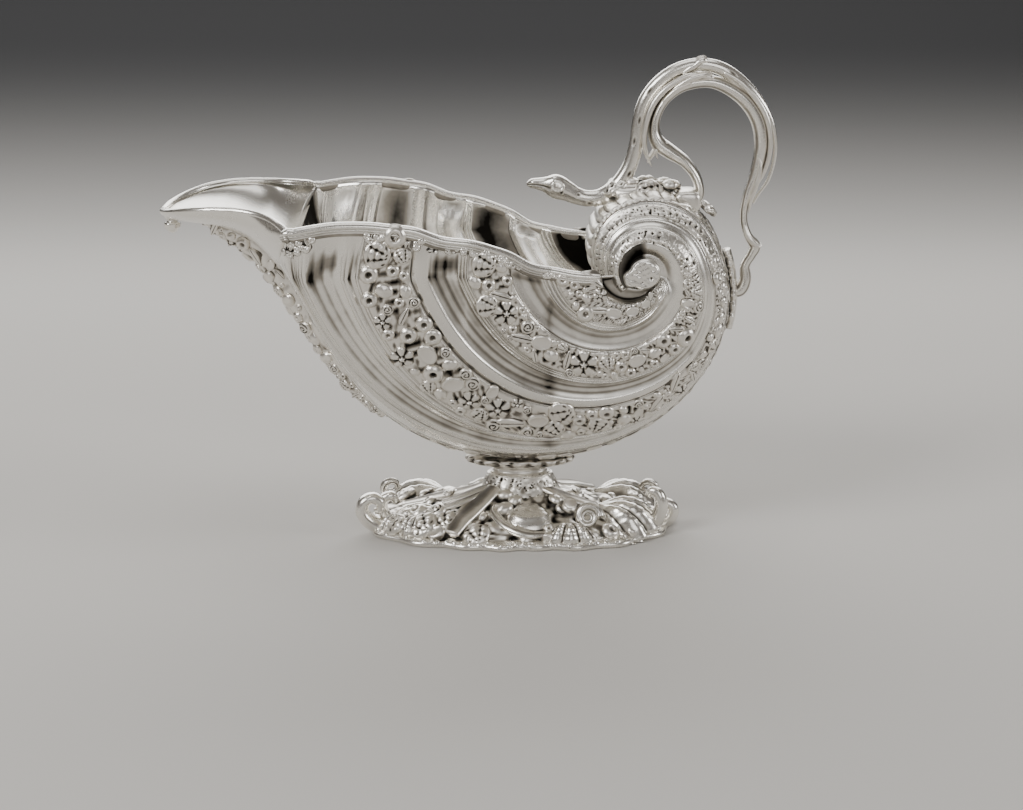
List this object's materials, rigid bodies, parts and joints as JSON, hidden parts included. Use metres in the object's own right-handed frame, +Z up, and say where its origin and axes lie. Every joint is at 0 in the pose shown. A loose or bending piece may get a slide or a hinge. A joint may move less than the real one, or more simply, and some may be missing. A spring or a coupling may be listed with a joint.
{
  "type": "sauce boat",
  "caption": "Nautilus-shaped sauce boat with a wide scoop spout, spiral fluted sides, bands of cast shells, a serpent and strap loop handle, an oval stem and a rockwork foot.",
  "frame": {"origin": "centre of the flat underside of the foot, on the axis of the stem", "axes": "+Z up; +X along the boat towards the handle, so the spout points to -X; -Y is the side called near; the boat is about symmetric across Y"},
  "size_m": [0.2136, 0.104, 0.1665],
  "materials": {
    "silver_polished": "polished sterling silver",
    "silver_cast": "cast and chased silver, darkened in the recesses"
  },
  "bodies": {
    "boat": {"hull_near": "silver_polished", "hull_far": "silver_polished", "spout": "silver_polished", "spout_drop": "silver_polished", "keel_band_front": "silver_cast", "keel_band_back": "silver_cast", "band_1_near": "silver_cast", "band_1_far": "silver_cast", "band_2_near": "silver_cast", "band_2_far": "silver_cast", "band_3_near": "silver_cast", "band_3_far": "silver_cast", "rim_wire_near": "silver_polished", "rim_wire_far": "silver_polished", "volute_eye_near": "silver_polished", "volute_eye_far": "silver_polished", "handle_strap": "silver_polished", "serpent": "silver_polished", "serpent_eyes": "silver_cast", "handle_bud": "silver_polished", "handle_leaves": "silver_cast", "handle_top_mount": "silver_cast", "handle_back_plate": "silver_cast", "handle_stub": "silver_polished", "hull_flange": "silver_cast", "stem_neck": "silver_polished", "stem_knop": "silver_cast", "foot_plate": "silver_cast", "foot_mound": "silver_cast", "foot_shell_left": "silver_cast", "foot_shell_right": "silver_cast", "foot_shell_back_left": "silver_cast", "foot_shell_back_right": "silver_cast", "foot_clam": "silver_cast", "foot_mussel": "silver_cast", "foot_snail": "silver_cast", "foot_kelp": "silver_cast", "foot_small_shells": "silver_cast"}
  },
  "joints": []
}
